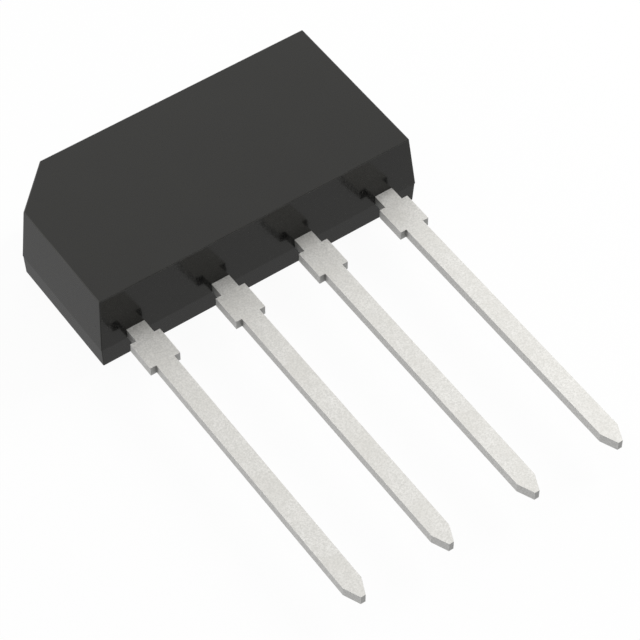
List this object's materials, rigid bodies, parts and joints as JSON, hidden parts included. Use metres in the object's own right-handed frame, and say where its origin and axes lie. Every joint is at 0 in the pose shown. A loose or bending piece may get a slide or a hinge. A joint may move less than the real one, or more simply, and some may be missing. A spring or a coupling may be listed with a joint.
{
  "type": "bridge rectifier",
  "caption": "Single in-line bridge rectifier: flat black moulded body with one cut corner and a row of flat tinned leads with shoulders and pointed tips.",
  "frame": {"origin": "Middle of the flat back, the face that the part lies on, with the parting outline of the moulding centred on it.", "axes": "+X runs along the row of leads from the plus lead beside the cut corner to the minus lead, -Y is the way the leads point, and +Z is out of the front face."},
  "size_m": [0.0194, 0.0297, 0.0047],
  "materials": {
    "epoxy": "black moulding compound, fine matt grain with a low sheen",
    "tinned_lead": "matt tin plating on copper, fine speckle",
    "copper": "bare rolled copper strip",
    "silicon": "lapped silicon with metallised faces",
    "solder": "dull high-lead solder"
  },
  "bodies": {
    "root": {"epoxy_body": "epoxy", "lead_plus": "tinned_lead", "lead_ac_1": "tinned_lead", "lead_ac_2": "tinned_lead", "lead_minus": "tinned_lead", "diode_die_1": "silicon", "die_solder_1": "solder", "anode_solder_1": "solder", "diode_die_2": "silicon", "die_solder_2": "solder", "anode_solder_2": "solder", "diode_die_3": "silicon", "die_solder_3": "solder", "anode_solder_3": "solder", "diode_die_4": "silicon", "die_solder_4": "solder", "anode_solder_4": "solder", "jumper_ac_1": "copper", "foot_solder_ac_1": "solder", "jumper_ac_2": "copper", "foot_solder_ac_2": "solder", "jumper_minus": "copper", "foot_solder_minus": "solder"}
  },
  "joints": []
}
